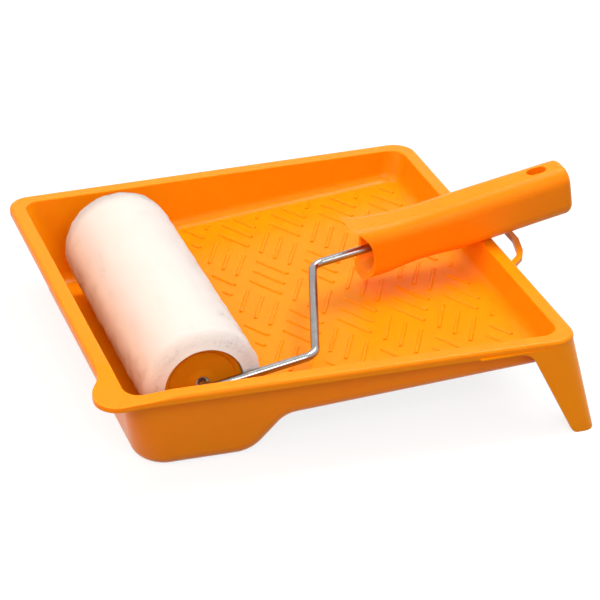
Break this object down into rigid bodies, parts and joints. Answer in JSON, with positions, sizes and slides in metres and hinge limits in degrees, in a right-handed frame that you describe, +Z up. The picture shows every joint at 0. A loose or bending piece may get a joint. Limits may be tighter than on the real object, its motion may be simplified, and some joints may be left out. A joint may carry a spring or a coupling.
{
  "type": "paint roller tray",
  "caption": "Moulded paint tray with a deep well, ribbed sloping ramp, pour spout, corner legs and hanging loop, holding a plush roller on a cranked wire frame with a moulded grip.",
  "frame": {"origin": "on the underside of the well's flat floor, midway across the tray and 62 mm in from the deep end's rim", "axes": "+X from the deep end up the ramp towards the legs and the hanging loop, +Y across the tray to the side away from the pour spout, +Z up"},
  "size_m": [0.3509, 0.3056, 0.1056],
  "materials": {
    "tray_plastic": "smooth moulded, semi-gloss",
    "handle_plastic": "fine moulded texture, semi-gloss",
    "cap_plastic": "smooth moulded",
    "plated_wire": "bright zinc plating",
    "pile": "thick woven plush",
    "core": "plain extruded tube",
    "bush_plastic": "plain moulded",
    "plated_trim": "zinc plated"
  },
  "bodies": {
    "tray": {"tray": "tray_plastic"},
    "axle_washers": {"inner_washer": "plated_trim", "outer_washer": "plated_trim"},
    "roller_frame": {"wire_frame": "plated_wire", "handle": "handle_plastic", "stop_ring": "plated_trim", "push_nut": "plated_trim"},
    "roller_cover": {"pile_cover": "pile", "core_tube": "core", "near_end_cap": "cap_plastic", "far_end_cap": "cap_plastic", "near_bush": "bush_plastic", "far_bush": "bush_plastic"}
  },
  "joints": [
    {"name": "roller_lift", "type": "slide", "parent": "tray", "child": "axle_washers", "axis": [0, 0, 1], "range_m": [0, 0.09]},
    {"name": "frame_swing", "type": "hinge", "parent": "axle_washers", "child": "roller_frame", "pos_m": [0.0038, 0, 0.0393], "axis": [0, -1, 0], "range_deg": [0, 75]},
    {"name": "cover_spin", "type": "hinge", "parent": "roller_frame", "child": "roller_cover", "pos_m": [0.0038, 0, 0.0393], "axis": [0, 1, 0], "continuous": true}
  ]
}
